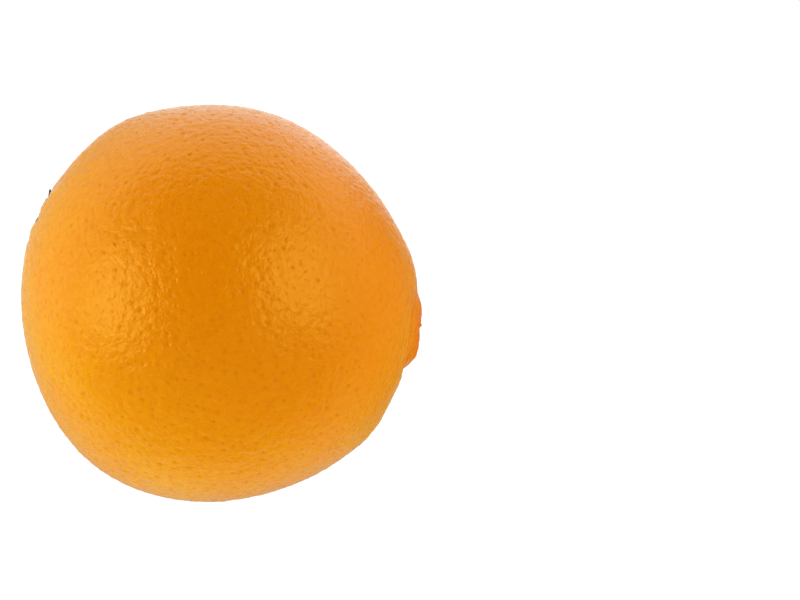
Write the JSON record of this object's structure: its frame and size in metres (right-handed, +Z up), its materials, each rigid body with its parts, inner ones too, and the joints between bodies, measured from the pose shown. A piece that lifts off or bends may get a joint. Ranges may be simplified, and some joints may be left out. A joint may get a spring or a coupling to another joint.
{
  "type": "orange",
  "caption": "Whole round navel orange with pitted peel, a low navel mound at one end and a dry star-shaped calyx at the other, resting on a small flat spot.",
  "frame": {"origin": "middle of the small flat spot that the orange rests on", "axes": "+Z up; +X towards the navel end, which is slightly below level; the stem end points to -X and upwards; -Y is the front"},
  "size_m": [0.0841, 0.0828, 0.0833],
  "materials": {
    "peel": "satin",
    "calyx": "matte"
  },
  "bodies": {
    "root": {"fruit": "peel", "calyx": "calyx"}
  },
  "joints": []
}
